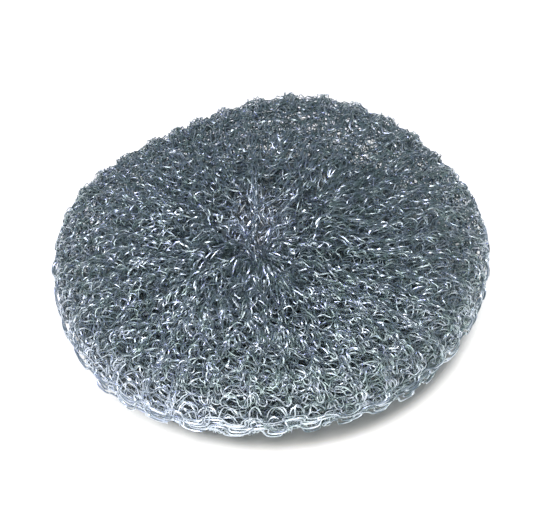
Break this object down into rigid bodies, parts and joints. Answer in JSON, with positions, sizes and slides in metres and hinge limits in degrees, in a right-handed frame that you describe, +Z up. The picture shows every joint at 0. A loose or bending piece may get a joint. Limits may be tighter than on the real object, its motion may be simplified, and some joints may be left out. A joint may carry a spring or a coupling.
{
  "type": "pot scourer",
  "caption": "Round pot scourer of knitted wire: a flattened springy pad, gathered into a pit in each face, with open stitch loops round its rim, for scrubbing pans by hand.",
  "frame": {"origin": "centre of the pad's bounding box at its underside, on the surface it rests on", "axes": "+Z up through the pad's thickness, out of its domed top face; -Y towards the picture's viewpoint"},
  "size_m": [0.1008, 0.1008, 0.0289],
  "materials": {
    "galvanised_wire": "bright galvanised wire, satin to glossy"
  },
  "bodies": {
    "root": {"knitted_pad": "galvanised_wire"}
  },
  "joints": []
}
